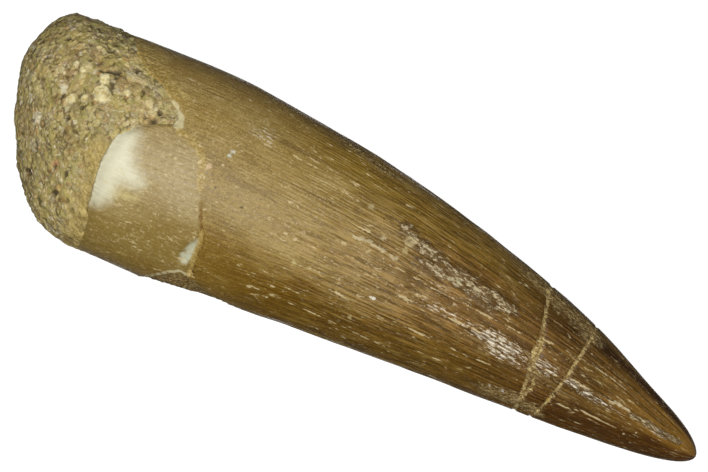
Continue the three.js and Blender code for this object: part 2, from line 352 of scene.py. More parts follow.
def closeness(x, angle, points, reach):
    """1 on a line, 0.5 at this distance from it, and 0 from twice as far."""
    return np.clip(1 - line_distance(x, angle, points) / (2 * reach), 0, 1)


def chip_zone(x, angle):
    """1 on the root chip, between the broken edge and the crack."""
    from_crack = round_path(CHIP_CRACK, angle) - x
    across = smooth(angle, -62, -55) * smooth(angle, 20, 16)
    return smooth(from_crack, -0.05, 0.1) * across


# Fine lengthwise ridges. Their number halves where the tooth is narrow, so they stay as far apart.
RIDGE_COUNTS = (160, 80, 40)
RIDGE_PITCH = 0.235


def ridges(x, angle):
    """Height of the fine ridges from -1 to 1, each ridge with a strength of its own."""
    turn = np.radians(angle)
    blank = np.zeros_like(x)
    total = blank
    for level, count in enumerate(RIDGE_COUNTS):
        pitch = 2 * math.pi * half_width(x) / count
        weight = np.clip(1 - np.abs(np.log2(pitch / RIDGE_PITCH)), 0, 1)
        round_it = np.stack([x / 4, np.sin(turn) * 9, np.cos(turn) * 9], axis=-1)
        phase = turn * count / (2 * math.pi) + 0.6 * noise(round_it, 1.0, 31 + level)
        number = np.floor(phase)
        cell = np.stack([blank + level, number % count, blank], axis=-1)
        along = np.stack([x / 2.5 + hashed(cell, 43) * 50, number % count, blank], axis=-1)
        strength = (0.35 + 0.65 * hashed(cell, 41)) * (0.7 + 0.6 * noise(along, 1.0, 47))
        total = total + weight * strength * np.cos(2 * math.pi * (phase - number))
    return total


def tooth_marks(x, angle, from_edge):
    """Fields of the marks on the tooth. Most are 0.5 at a mark's edge, and the others are millimetres."""
    slow = cloudy(on_skin(x, angle), 2.2, 5)

    hidden = smooth(np.abs(angle), 72, 85)
    hidden_rim = 0.5 + np.clip(0.25 - from_edge, -0.5, 0.5) * hidden - 0.5 * (1 - hidden)
    rim = patch(x, angle, PALE_RIM, 2.5)
    lower_edge = closeness(x, angle, CHIP_LOWER_EDGE, 0.13)
    reach_1 = 0.13 + 0.14 * np.exp(-(((angle - 1) / 11) ** 2)) + 0.05 * slow
    crack_1 = 1 - np.abs(x - round_path(RING_CRACK_1, angle) - 0.05) / (2 * reach_1)
    reach_2 = 0.095 + 0.03 * slow
    crack_2 = 1 - np.abs(x - round_path(RING_CRACK_2, angle)) / (2 * reach_2)
    strand = closeness(x, angle, SECOND_STRAND, 0.12)
    lines = [closeness(x, angle, points, PALE_LINE_REACH) for points in PALE_LINES]
    streaks = [closeness(x, angle, points, LUMPY_REACH) for points in LUMPY_STREAKS]
    crusts = [closeness(x, angle, points, reach) for points, reach in CRUST_PATCHES]
    patches = [closeness(x, angle, points, reach) for points, reach in ROUGH_PATCHES]
    sliver = patch(x, angle, SLIVER, 1.5)
    feather = 1.25 * smooth(from_edge + 0.5 * slow, 3.2, 0.1)
    feather = feather * smooth(angle, 28, 42) * smooth(angle, 125, 105)
    hidden_feather = 0.8 * smooth(from_edge + 0.35 * slow, 0.9, 0.1) * hidden

    places = laid_out(x, angle)
    crumbs_and_glints = np.zeros_like(x)
    for at_x, at_angle, reach_x, reach_round, strength in FLECK_AND_GLINT_PATCHES:
        away = places - laid_out(at_x, at_angle)
        felt = np.exp(-((away[..., 0] / reach_x) ** 2) - (away[..., 1] / reach_round) ** 2)
        crumbs_and_glints = np.maximum(crumbs_and_glints, strength * felt)
    return {
        "worn": inside(x, angle, CHIP_WORN_EDGE).clip(-1, 1),
        "cream": inside(x, angle, CHIP_CREAM).clip(-1, 1),
        "rim": np.maximum.reduce([rim, lower_edge, hidden_rim]),
        "glassy": patch(x, angle, GLASSY_PATCH, 4),
        "filler": np.maximum.reduce([crack_1, crack_2, strand]).clip(0, 1),
        "lines": np.maximum.reduce(lines),
        "streaks": np.maximum.reduce(streaks),
        "crust": np.maximum.reduce(crusts),
        "rough": np.maximum.reduce([*patches, sliver, 0.4 * feather]),
        "ochre": np.maximum.reduce([feather, hidden_feather, closeness(x, angle, CRACK_OCHRE, 0.22)]),
        "brown": closeness(x, angle, CRACK_BROWN, 0.075) * smooth(x, 12.6, 13.2),
        "sand": closeness(x, angle, CRACK_LOWER, 0.16),
        "crumbs_and_glints": crumbs_and_glints,
        "chip": chip_zone(x, angle),
    }


# Slight swellings and hollows of the tooth, as x, angle, reach along it, reach round it in degrees
# and height
SWELLINGS = [(11, -90, 3.5, 40, 0.14), (15.2, 90, 3.6, 40, -0.13), (40.4, 90, 3.0, 40, -0.2)]

# Heights and depths of the tooth's relief
RIDGE_HEIGHT = 0.03
FILLER_DEPTH = 0.09
CRUST_HEIGHT = 0.045
STREAK_HEIGHT = 0.05
ROUGH_HEIGHT = 0.12
OCHRE_HEIGHT = 0.05
SLIVER_DEPTH = 0.18
OPEN_CRACK_DEPTH = 0.12
SANDY_CRACK_DEPTH = 0.14
GLASSY_DEPTH = 0.2
CHIP_EDGE_DEPTH = 0.26
WORN_EDGE_DEPTH = 0.12


def tooth_relief(x, angle, from_edge, marks, ridge):
    """How far the surface stands out from the plain form, in millimetres."""
    skin = on_skin(x, angle)
    nearest, _ = grains(skin, 0.27, 61)
    grain = np.clip(1 - nearest, 0, 1)
    small = cloudy(skin, 0.22, 71)
    filler = smooth(marks["filler"] + 0.08 * small, 0.4, 0.65)
    crust = smooth(marks["crust"] + 0.15 * small, 0.35, 0.75)
    rough = smooth(marks["rough"] + 0.1 * small, 0.4, 0.7)

    strength = 0.3 + 0.7 * smooth(x, 13, 21)
    strength = strength * (1 - 0.6 * marks["chip"]) * np.clip(half_width(x) / 2.2, 0.25, 1)
    calm = 1 - np.maximum.reduce([filler, rough, 0.6 * crust])
    relief = RIDGE_HEIGHT * ridge * strength * calm
    relief += 0.035 * cloudy(skin, 4.0, 81) + 0.008 * noise(skin, 0.9, 83)
    for at_x, at_angle, reach_x, reach_round, height in SWELLINGS:
        felt = ((x - at_x) / reach_x) ** 2 + ((angle - at_angle) / reach_round) ** 2
        relief += height * np.exp(-felt)

    relief -= filler * (FILLER_DEPTH - 0.06 * grain)
    relief += crust * (CRUST_HEIGHT + 0.07 * small)
    relief += STREAK_HEIGHT * smooth(marks["streaks"] + 0.1 * small, 0.3, 0.8)
    relief += ROUGH_HEIGHT * rough * (grain - 0.35)
    relief += OCHRE_HEIGHT * marks["ochre"] * (grain - 0.4)
    relief -= SLIVER_DEPTH * smooth(inside(x, angle, SLIVER), 0.0, 0.35)
    relief -= OPEN_CRACK_DEPTH * smooth(marks["brown"], 0.3, 0.8)
    relief -= SANDY_CRACK_DEPTH * smooth(marks["sand"] + 0.1 * small, 0.4, 0.8)
    relief -= GLASSY_DEPTH * smooth(inside(x, angle, GLASSY_PATCH), -0.1, 0.25)

    chip_edge = smooth(angle, -80, -60) * smooth(angle, 18, 13)
    relief -= (CHIP_EDGE_DEPTH + 0.06 * small) * chip_edge * smooth(from_edge, 0.85, 0.0) ** 1.5
    flush = smooth(angle, 28, 42) * smooth(angle, 135, 110)
    worn_edge = (WORN_EDGE_DEPTH - 0.1 * flush + 0.06 * small) * (1 - chip_edge)
    relief -= worn_edge * smooth(from_edge + 0.1 * small, 0.5, 0.0)
    return relief


def tooth_rows(angle):
    """X of each ring of the tooth's outside, from the broken edge to near the tip."""
    rows = []
    for index, (line, near, count) in enumerate(STRETCHES):
        at = round_path(line, angle)
        wobble = 0.0
        if line is not ROOT_EDGE:
            wobble = 0.05 * noise(np.stack([at, angle / 4, angle * 0], axis=-1), 1.0, 90 + index)
        rows.extend(at + wobble + offset for offset in near)
        start = at + near[-1]
        last = index + 1 == len(STRETCHES)
        if last:
            end = np.full_like(angle, LENGTH)
        else:
            next_line, next_near, _ = STRETCHES[index + 1]
            end = round_path(next_line, angle) + next_near[0]
        for step in range(1, count):
            share = step / count
            if last:
                share = 1 - (1 - share) ** TIP_CROWDING
            rows.append(start + (end - start) * share)
    rows = np.array(rows)
    for index in range(1, len(rows)):
        rows[index] = np.maximum(rows[index], rows[index - 1] + LEAST_SPACING)
    return rows


# Making meshes

def in_scene(name, data):
    """A new object with this data, put in the scene."""
    made = bpy.data.objects.new(name, data)
    bpy.context.scene.collection.objects.link(made)
    return made


def unwrapped(rings, around):
    """The unwrap of a tube of rings: round it along U and along it along V, one pair per face corner."""
    margin = 0.01
    u = margin + (1 - 2 * margin) * np.arange(around + 1) / around
    v = margin + (1 - 2 * margin) * np.arange(rings + 2) / (rings + 1)
    left, right = u[:-1], u[1:]
    middle = (left + right) / 2
    low, high = v[1:-2, None], v[2:-1, None]

    def corners(*pairs):
        """The corners of many faces of one kind, from the U and V of each corner."""
        stacked = [np.stack(np.broadcast_arrays(*pair), axis=-1) for pair in pairs]
        return np.stack(stacked, axis=-2).reshape(-1, 2)

    first = corners((middle, v[0]), (left, v[1]), (right, v[1]))
    quads = corners((left, low), (left, high), (right, high), (right, low))
    last = corners((left, v[-2]), (middle, v[-1]), (right, v[-2]))
    return np.concatenate([first, quads, last])


def tube_mesh(name, grid, start, end, fields):
    """A closed mesh of rings of points with a point at each end, and fields kept at its points."""
    rings, around = grid.shape[:2]
    points = np.concatenate([start[None], grid.reshape(-1, 3), end[None]])
    corner = 1 + np.arange(rings * around).reshape(rings, around)
    beside = np.roll(corner, -1, axis=1)
    first = np.stack([np.zeros(around, int), corner[0], beside[0]], axis=-1)
    quads = np.stack([corner[:-1], corner[1:], beside[1:], beside[:-1]], axis=-1).reshape(-1, 4)
    last = np.stack([corner[-1], np.full(around, len(points) - 1), beside[-1]], axis=-1)
    mesh = bpy.data.meshes.new(name)
    faces = [*first.tolist(), *quads.tolist(), *last.tolist()]
    mesh.from_pydata(((points + shift) * MM).tolist(), [], faces)
    layer = mesh.uv_layers.new(name="OFBake")
    layer.data.foreach_set("uv", unwrapped(rings, around).ravel())
    for field, values in fields.items():
        padded = np.concatenate([values[:1, 0], values.reshape(-1, *values.shape[2:]), values[-1:, 0]])
        kind, key = ("FLOAT_VECTOR", "vector") if values.ndim == 3 else ("FLOAT", "value")
        attribute = mesh.attributes.new(field, kind, "POINT")
        attribute.data.foreach_set(key, padded.astype(np.float32).ravel())
    mesh.shade_smooth()
    mesh.update()
    return in_scene(name, mesh)


def make_tooth():
    angle = -180 + 360 * np.arange(AROUND) / AROUND
    rows = tooth_rows(angle)
    angles = np.broadcast_to(angle, rows.shape)
    from_edge = rows - round_path(ROOT_EDGE, angles)
    marks = tooth_marks(rows, angles, from_edge)
    ridge = ridges(rows, angles)
    relief = tooth_relief(rows, angles, from_edge, marks, ridge)
    outside = tooth_point(rows, angles, 1.0, relief)

    # The broken rim turns in and down to the hollow, which the sandstone fills
    edge = round_path(ROOT_EDGE, angle)
    inner = []
    for step in range(1, HOLLOW_RINGS + 1):
        share = WALL_SHARE * step / (HOLLOW_RINGS + 1)
        x = HOLLOW_TIP_X + (edge + WALL_SLANT - HOLLOW_TIP_X) * share / WALL_SHARE
        inner.append(tooth_point(x, angle, share))
    for step in range(RIM_RINGS):
        share = WALL_SHARE + (1 - WALL_SHARE) * step / RIM_RINGS
        x = edge + WALL_SLANT * (1 - step / RIM_RINGS)
        jitter = 0.05 * noise(np.stack([angle / 2, x * 0 + step, x * 0], axis=-1), 1.0, 95)
        inner.append(tooth_point(x + jitter, angle, share, relief[0] * step / RIM_RINGS))
    grid = np.concatenate([np.array(inner), outside])

    on_inner = {"rim": 1.0, "worn": -1.0, "cream": -1.0}
    fields = {}
    for field, values in {**marks, "ridge": ridge}.items():
        inner_values = np.full((len(inner), AROUND), on_inner.get(field, 0.0))
        fields[field] = np.concatenate([inner_values, values])
    all_rows = np.concatenate([np.array(inner)[..., 0], rows])
    all_angles = np.broadcast_to(angle, all_rows.shape)
    turn = np.radians(all_angles)
    evenly_round = [all_rows, HALF_WIDTH * np.cos(turn), HALF_WIDTH * np.sin(turn)]
    fields["from_root"] = all_rows / LENGTH
    fields["angle"] = all_angles
    fields["skin"] = np.stack(evenly_round, axis=-1)
    fields["laid"] = np.concatenate([laid_out(all_rows, all_angles), 0 * all_rows[..., None]], axis=-1)
    hollow_tip = tooth_point(HOLLOW_TIP_X, 0, 0.0)
    tip = tooth_point(LENGTH, 0, 0.0)
    return tube_mesh("fossil_tooth", grid, hollow_tip, tip, fields)


# The sandstone's largest features, seen from above, as (x, y, radius, height)
LARGE_LUMPS = [
    (5.18, 1.6, 0.56, 0.3), (4.9, 2.42, 0.38, 0.26), (4.36, 0.9, 0.2, 0.18), (3.75, 0.6, 0.28, 0.16),
    (6.35, 2.35, 0.2, 0.16), (3.0, 2.45, 0.2, 0.16), (3.45, 2.35, 0.18, 0.14),
]
# Holes sunk into the stone, as (x, y, radius, depth), darkened with painted shade
DARK_HOLES = [
    (8.55, 2.2, 0.17, 0.3), (5.2, -4.7, 0.28, 0.25), (1.85, 3.55, 0.2, 0.2), (3.3, -4.3, 0.3, 0.25),
]
PINK_SPOT = (4.55, -3.2, 0.42)
PORE_DEPTH = 0.16

# Layers of grains, as spacing, height, seed of the random numbers and share of places with a grain.
# A grain's radius, in spacings, is the least radius and up to the spread more.
GRAIN_LAYERS = (
    (0.85, 0.17, 101, 0.2), (0.5, 0.13, 111, 0.45), (0.33, 0.1, 121, 0.6), (0.22, 0.07, 131, 0.8),
)
LEAST_GRAIN_RADIUS = 0.34
GRAIN_RADIUS_SPREAD = 0.2


def make_sandstone():
    angle = -180 + 360 * np.arange(STONE_AROUND) / STONE_AROUND
    edge = round_path(ROOT_EDGE, angle)
    share = (np.arange(1, STONE_RINGS + 1) / STONE_RINGS) ** STONE_CROWDING
    rows = share[:, None] * (edge + STONE_OVERLAP)
    angles = np.broadcast_to(angle, rows.shape)
    to_edge = edge - rows

    # Fine sand rises to meet the chip, and the stone feathers out level with the tooth elsewhere
    fillet = smooth(to_edge, 1.5, 0.4) * smooth(angles, -130, -105) * smooth(angles, 6, -8)
    level = smooth(angles, 40, 55) * smooth(angles, 125, 100)
    inset = STONE_INSET - 0.1 * level * smooth(to_edge, 2.5, 0.3)
    upper_side = smooth(angles, 45, 75) * smooth(angles, 150, 110)
    inset = inset - (0.14 + 0.12 * smooth(to_edge, 0.2, 1.2)) * upper_side
    lower_side = smooth(angles, -50, -78) * smooth(angles, -150, -120)
    inset = inset - 0.24 * lower_side * smooth(to_edge, 2.6, 0.4)
    base = stone_point(rows, angles, inset)

    middle = np.array([HOLLOW_TIP_X / 2, STONE_END_Y, STONE_END_Z])
    along_rings = np.gradient(base, axis=0)
    round_rings = np.roll(base, -1, axis=1) - np.roll(base, 1, axis=1)
    outward = np.cross(along_rings, round_rings)
    outward /= np.linalg.norm(outward, axis=-1, keepdims=True) + 1e-9
    flipped = np.sum(outward * (base - middle), axis=-1, keepdims=True) < 0
    outward = np.where(flipped, -outward, outward)

    number = np.zeros_like(rows)
    top = np.full_like(rows, -1.0)
    for size, rise, seed, share_of_cells in GRAIN_LAYERS:
        nearest, own = grains(base, size, seed)
        present = own < share_of_cells
        radius = LEAST_GRAIN_RADIUS + GRAIN_RADIUS_SPREAD * ((own * 37) % 1)
        cap = np.sqrt(np.clip(1 - (nearest / radius) ** 2, 0, 1)) * present
        cap = cap * rise * (0.55 + 0.45 * ((own * 91) % 1)) * (1 - 0.75 * fillet)
        taller = cap > top
        number = np.where(taller, own / share_of_cells, number)
        top = np.maximum(top, cap)
    cement = 0.04 + 0.045 * cloudy(base, 0.6, 137)
    top = np.maximum(top, cement)
    height = 0.1 * cloudy(base, 1.6, 131) + 0.04 * cloudy(base, 0.5, 133) + top
    pale = np.zeros_like(rows)
    upper = base[..., 2] > STONE_END_Z

    def away_from(x, y, wobble, seed):
        """Distance from a place seen from above, made irregular."""
        return np.hypot(base[..., 0] - x, base[..., 1] - y) + wobble * cloudy(base, 0.4, seed)

    for x, y, radius, rise in LARGE_LUMPS:
        away = away_from(x, y, 0.09, 141)
        felt = np.sqrt(np.clip(1 - (away / radius) ** 2, 0, 1)) * upper
        height = np.maximum(height, height * (1 - 0.85 * felt) + rise * felt)
        pale = np.maximum(pale, smooth(felt, 0.05, 0.4))
    holes = np.zeros_like(rows)
    for x, y, radius, depth in DARK_HOLES:
        away = away_from(x, y, 0.08, 143)
        felt = smooth(away, radius, radius * 0.3) * upper
        height = height - depth * felt
        holes = np.maximum(holes, felt)
    pores = smooth(noise(base, 0.45, 151) + 0.4 * noise(base, 0.2, 153), 0.58, 0.88)
    pores = pores * (1 - fillet) * (1 - pale)
    height = height - PORE_DEPTH * pores
    height = height - 0.04 + 0.03 * smooth(to_edge, 0.6, 0.1)
    surface = base + outward * height[..., None]
    surface[..., 2] = np.maximum(surface[..., 2], 0)

    inner = []
    for step in range(HOLLOW_RINGS + 1, 0, -1):
        part = STONE_SHARE * step / (HOLLOW_RINGS + 1)
        x = STONE_TIP_X + (edge + STONE_SLANT - STONE_TIP_X) * part / STONE_SHARE
        inner.append(tooth_point(x, angle, part))
    grid = np.concatenate([surface, np.array(inner)])

    pink_x, pink_y, pink_radius = PINK_SPOT
    pink_away = away_from(pink_x, pink_y, 0.3, 161)
    fields = {
        "grain": number,
        "cavity": 1 - smooth(top, 0.0, 0.06),
        "fillet": fillet,
        "pale": pale,
        "pink": smooth(pink_away, pink_radius, 0.15) * upper,
        "hole": np.maximum(holes, pores),
    }
    for field, values in fields.items():
        fields[field] = np.concatenate([values, np.zeros((len(inner), STONE_AROUND))])
    end = np.array([surface[0, :, 0].mean() - 0.02, STONE_END_Y, STONE_END_Z])
    inner_tip = tooth_point(STONE_TIP_X, 0, 0.0)
    return tube_mesh("fossil_sandstone", grid, end, inner_tip, fields)


# Materials

ENAMEL_IOR = 1.4
ENAMEL_BUMP = 0.08 * MM
STONE_BUMP = 0.11 * MM
STONE_ROUGHNESS = 0.7
BUMP_STRENGTH = 0.9


def linear(red, green, blue):
    """A colour given as it looks on screen, from 0 to 255, as light."""
    def light(value):
        value /= 255
        return value / 12.92 if value <= 0.04045 else ((value + 0.055) / 1.055) ** 2.4
    return (light(red), light(green), light(blue))


class Shader:
    """Short names for making one material's nodes. Colours are given as they look on screen."""

    def __init__(self, name):
        self.material = bpy.data.materials.new(name)
        self.material.use_nodes = True
        self.tree = self.material.node_tree
        self.surface = next(n for n in self.tree.nodes if n.type == "BSDF_PRINCIPLED")
        self.place = self.add("ShaderNodeTexCoord", {}).outputs["Object"]
        self.millimetre = MM
        self.colour = None

    def put(self, node, inputs):
        """Gives a node's inputs, by name or number, their values or links."""
        for key, value in inputs.items():
            if isinstance(value, bpy.types.NodeSocket):
                self.tree.links.new(value, node.inputs[key])
            else:
                node.inputs[key].default_value = value

    def add(self, kind, inputs, **settings):
        node = self.tree.nodes.new(kind)
        for key, value in settings.items():
            setattr(node, key, value)
        self.put(node, inputs)
        return node

    def field(self, name, output="Fac"):
        return self.add("ShaderNodeAttribute", {}, attribute_name=name).outputs[output]

    def maths(self, operation, first, second=0.0):
        return self.add("ShaderNodeMath", {0: first, 1: second}, operation=operation).outputs[0]

    def vector_maths(self, operation, *inputs):
        return self.add("ShaderNodeVectorMath", dict(enumerate(inputs)), operation=operation).outputs

    def scaled(self, size, lengthwise=1):
        """The place in units of this size in millimetres, with a factor for the direction of X."""
        factors = tuple(factor / (size * self.millimetre) for factor in (lengthwise, 1, 1))
        return self.vector_maths("MULTIPLY", self.place, factors)[0]

    def noise(self, size, lengthwise=1, detail=3.0, roughness=0.55, output="Fac"):
        place = self.scaled(size, lengthwise)
        inputs = {"Vector": place, "Scale": 1.0, "Detail": detail, "Roughness": roughness}
        return self.add("ShaderNodeTexNoise", inputs).outputs[output]

    def cells(self, size):
        """Distance to the nearest cell centre, and that cell's random colour."""
        node = self.add("ShaderNodeTexVoronoi", {"Vector": self.scaled(size), "Scale": 1.0})
        return node.outputs["Distance"], node.outputs["Color"]

    def near(self, place, centre, reach, wobble):
        """1 within about this distance of a point, and 0 well outside it."""
        away = self.vector_maths("DISTANCE", place, centre)["Value"]
        return self.between(self.wobbled(away, wobble, reach), reach * 1.4, reach * 0.5)

    def wobbled(self, field, wobble, amount):
        """A field with noise added to it, so that its edges are irregular."""
        return self.maths("ADD", field, self.between(wobble, 0.2, 0.8, -amount, amount))

    def product(self, *values):
        total = values[0]
        for value in values[1:]:
            total = self.maths("MULTIPLY", total, value)
        return total

    def between(self, value, low, high, to_low=0.0, to_high=1.0):
        """A smooth change from one value to another as the input goes from low to high."""
        limits = (low, high, to_low, to_high) if low < high else (high, low, to_high, to_low)
        inputs = dict(zip(("From Min", "From Max", "To Min", "To Max"), limits), Value=value)
        return self.add("ShaderNodeMapRange", inputs, interpolation_type="SMOOTHSTEP").outputs["Result"]

    def ramp(self, value, stops, as_light=False):
        node = self.add("ShaderNodeValToRGB", {"Fac": value})
        marks = node.color_ramp.elements
        while len(marks) < len(stops):
            marks.new(0.5)
        for mark, (place, colour) in zip(marks, stops):
            mark.position = place
            mark.color = (*(colour if as_light else linear(*colour)), 1)
        return node.outputs["Color"]

    def mix(self, share, first, second, blend="MIX"):
        inputs = {"Factor": share}
        for key, colour in (("A", first), ("B", second)):
            is_node = isinstance(colour, bpy.types.NodeSocket)
            inputs[key] = colour if is_node else (*linear(*colour), 1)
        return self.add("ShaderNodeMix", inputs, data_type="RGBA", blend_type=blend).outputs["Result"]

    def over(self, share, tone, blend="MIX"):
        """Puts a share of a tone over the colour so far."""
        self.colour = self.mix(share, self.colour, tone, blend)

    def tinted(self, colour, *tones):
        """The colour with tones over it, as (field, low, high, share, tone). Up to this share of each
        tone shows as its field goes from low to high."""
        for field, low, high, share, tone in tones:
            colour = self.mix(self.between(field, low, high, 0, share), colour, tone)
        return colour

    def tint(self, *tones):
        """Puts tones over the colour so far."""
        self.colour = self.tinted(self.colour, *tones)

    def mark(self, name, wobble, amount, low, high, share=1.0):
        """How much of a mark shows, with its edge made irregular."""
        return self.between(self.wobbled(self.field(name), wobble, amount), low, high, 0, share)

    def bump(self, height, distance):
        inputs = {"Height": height, "Distance": distance, "Strength": BUMP_STRENGTH}
        node = self.add("ShaderNodeBump", inputs)
        self.put(self.surface, {"Normal": node.outputs["Normal"]})


# Colours along the tooth as (share of its length, colour on screen): on top, on its two flanks,
# which are darker as painted shade, and low down on its sides, where it is greyer
TOP_COLOURS = [
    (0.17, (160, 137, 80)), (0.35, (155, 131, 72)), (0.46, (154, 128, 68)), (0.6, (108, 77, 25)),
    (0.74, (80, 50, 10)), (0.83, (56, 32, 1)), (0.95, (138, 96, 26)),
]
SHADED_LOW_FLANK_COLOURS = [
    (0.17, (146, 122, 54)), (0.36, (128, 98, 24)), (0.56, (108, 74, 2)), (0.73, (104, 74, 16)),
    (0.87, (78, 46, 0)), (1.0, (96, 58, 4)),
]
SHADED_HIGH_FLANK_COLOURS = [
    (0.17, (150, 122, 60)), (0.45, (146, 118, 48)), (0.6, (138, 108, 42)), (0.75, (92, 66, 16)),
    (0.86, (72, 44, 0)), (1.0, (92, 56, 6)),
]
SIDE_COLOUR = (128, 104, 60)

# How much red, green and blue the flanks keep along the tooth under their painted shade
LOW_FLANK_SHADE_TINTS = [
    (0.2, (0.95, 0.95, 0.9)), (0.42, (0.7, 0.62, 0.18)), (0.62, (0.82, 0.84, 0.6)),
    (0.8, (0.54, 0.42, 0.06)),
]
HIGH_FLANK_SHADE_TINTS = [
    (0.3, (1, 1, 1)), (0.45, (0.93, 0.9, 0.68)), (0.66, (0.93, 0.93, 0.8)), (0.8, (0.34, 0.26, 0.05)),
]

# Pale marks, as the field's name, the noise at its edge, its values where the mark starts and is full,
# the greatest share and the colour
PALE_MARKS = (
    ("cream", 0.35, -0.2, 0.7, 0.7, (204, 187, 126)),
    ("worn", 0.16, -0.5, 0.7, 1.0, (209, 204, 173)),
    ("rim", 0.2, 0.4, 0.75, 0.85, (202, 191, 148)),
    ("glassy", 0.35, 0.2, 1.1, 0.9, (190, 190, 162)),
)


def tooth_material():
    shader = Shader("tooth_enamel")
    shader.place = shader.field("skin", "Vector")
    shader.millimetre = 1
    along = shader.field("from_root")
    angle = shader.field("angle")

    clouds = shader.noise(5.0, 0.5, detail=4)
    leaning = shader.wobbled(angle, clouds, 22)
    shader.colour = shader.ramp(along, TOP_COLOURS)
    # Painted shade: the flanks take darker colours than the top
    shaded_low_flank = shader.between(leaning, -14, -40)
    shader.over(shaded_low_flank, shader.ramp(along, SHADED_LOW_FLANK_COLOURS))
    shaded_high_flank = shader.between(leaning, 24, 52)
    shader.over(shaded_high_flank, shader.ramp(along, SHADED_HIGH_FLANK_COLOURS))
    aside = shader.between(shader.maths("ABSOLUTE", leaning), 62, 86, 0, 0.8)
    shader.over(aside, SIDE_COLOUR)
    crown = shader.between(along, 0.26, 0.48)

    # Blotches, broad bands, and fine striae that grow coarser round the tooth as it narrows
    blotches = shader.noise(1.3, 0.6, detail=5, roughness=0.7)
    bands = shader.noise(0.9, 0.1, roughness=0.6)
    shader.tint(
        (blotches, 0.5, 0.68, 0.4, (118, 90, 42)),
        (blotches, 0.48, 0.32, 0.35, (186, 162, 110)),
        (bands, 0.5, 0.7, 0.4, (84, 56, 12)),
        (bands, 0.46, 0.3, 0.3, (160, 122, 50)),
    )
    fine = shader.noise(0.14, 0.09, roughness=0.6)
    coarse = shader.noise(0.23, 0.07, roughness=0.75)
    coarser = {"Factor": shader.between(along, 0.55, 0.8), "A": fine, "B": coarse}
    striae = shader.add("ShaderNodeMix", coarser, data_type="FLOAT").outputs["Result"]
    striated = shader.between(along, 0.28, 0.66)
    unworn = shader.between(along, 0.985, 0.95, 0.25, 1)
    contrast = shader.product(shader.between(striated, 0, 1, 0.25, 1.35), unworn)
    shader.over(shader.product(shader.between(striae, 0.51, 0.58), contrast, 0.55), (56, 34, 2))
    light = shader.product(shader.between(striae, 0.47, 0.4), contrast, 0.42)
    shader.over(light, shader.ramp(along, [
        (0.42, (194, 168, 108)), (0.66, (164, 122, 54)), (0.82, (134, 94, 30)),
    ]))
    mottle = shader.noise(0.16, 0.6, detail=2, roughness=0.7)
    pale = shader.mix(crown, (194, 168, 110), (160, 122, 44))
    shader.tint((mottle, 0.5, 0.68, 0.3, (92, 66, 20)), (mottle, 0.47, 0.33, 0.2, pale))
    ridge = shader.field("ridge")
    # Painted shade darkens the grooves between the fine ridges
    groove_shade = shader.product(shader.between(ridge, -0.1, -0.55), shader.between(striated, 0, 1, 0.12, 0.5))
    shader.over(groove_shade, (66, 42, 8))

    grit = shader.noise(0.09, detail=2, roughness=0.7)
    shader.tint((grit, 0.5, 0.66, 0.4, (104, 80, 38)), (grit, 0.48, 0.34, 0.3, pale))
    dust = shader.noise(0.1, 0.7, detail=2, roughness=0.7)
    dusty = shader.between(shader.noise(1.8, 0.6), 0.42, 0.62, 0.1, 0.6)
    dust = shader.product(shader.between(dust, 0.6, 0.7), dusty, shader.between(striated, 0, 1, 1, 0.5))
    shader.over(dust, (212, 192, 142))

    # The flanks are deeper in colour as painted shade, most of all near the tip
    facing_up = shader.between(aside, 0, 0.8, 1, 0.35)
    for shaded_flank, tints in ((shaded_low_flank, LOW_FLANK_SHADE_TINTS), (shaded_high_flank, HIGH_FLANK_SHADE_TINTS)):
        tint = shader.ramp(along, tints, as_light=True)
        shader.over(shader.product(shaded_flank, facing_up), tint, blend="MULTIPLY")

    # Pale flecks, short along the striae, everywhere a few and many in the sparkling patches: partly
    # pale crumbs and partly painted glints on the ridge crests, whitest in the sparkling patches
    crumbs_and_glints = shader.field("crumbs_and_glints")
    fleck_and_glint = shader.noise(0.17, 0.4, roughness=0.75)
    fleck_and_glint = shader.maths("ADD", fleck_and_glint, shader.between(crumbs_and_glints, 0, 1, 0, 0.17))
    patchy = shader.between(shader.noise(3.2, 0.5), 0.4, 0.65, -0.06, 0.02)
    fleck_and_glint = shader.between(shader.maths("ADD", fleck_and_glint, patchy), 0.62, 0.7)
    crest = shader.between(ridge, -0.4, 0.4, 0.25, 1)
    fleck_and_glint = shader.product(fleck_and_glint, crest, unworn, shader.between(crown, 0, 1, 0.55, 0.9))
    shader.over(fleck_and_glint, shader.mix(shader.between(crumbs_and_glints, 0.3, 0.8), (196, 170, 118), (238, 228, 204)))

    # The chip is smoother and paler above, and yellow-brown low down, darker there as painted shade
    speckle = shader.noise(0.2, roughness=0.8)
    chip_top = shader.mix(shader.between(clouds, 0.4, 0.65, 0, 0.6), (165, 146, 98), (152, 130, 77))
    shaded_chip_low = shader.mix(shader.between(speckle, 0.45, 0.7, 0, 0.6), (132, 109, 48), (160, 138, 82))
    chip = shader.tinted(
        shader.mix(shader.between(leaning, -24, -42), chip_top, shaded_chip_low),
        (striae, 0.5, 0.6, 0.3, (126, 102, 54)),
        (blotches, 0.5, 0.64, 0.35, (136, 112, 60)),
    )
    chip = shader.tinted(
        shader.mix(shader.product(dust, 0.3), chip, (210, 192, 144)),
        (grit, 0.5, 0.66, 0.35, (124, 100, 52)),
        (mottle, 0.54, 0.7, 0.4, (118, 94, 48)),
        (mottle, 0.44, 0.32, 0.4, (206, 190, 146)),
    )
    shader.over(shader.product(shader.field("chip"), 0.85), chip)

    breaks = shader.noise(0.35, detail=4, roughness=0.7)
    for name, amount, low, high, share, tone in PALE_MARKS:
        shader.over(shader.mark(name, breaks, amount, low, high, share), tone)

    rough = shader.mark("rough", breaks, 0.3, 0.35, 0.65, 0.85)
    shader.over(rough, shader.ramp(speckle, [
        (0.36, (56, 40, 14)), (0.46, (104, 80, 36)), (0.54, (142, 116, 64)), (0.66, (198, 178, 128)),
    ]))
    ochre_colour = shader.mix(shader.between(speckle, 0.4, 0.65), (146, 118, 52), (192, 170, 106))
    shader.over(shader.mark("ochre", breaks, 0.3, 0.35, 0.7, 0.85), ochre_colour)

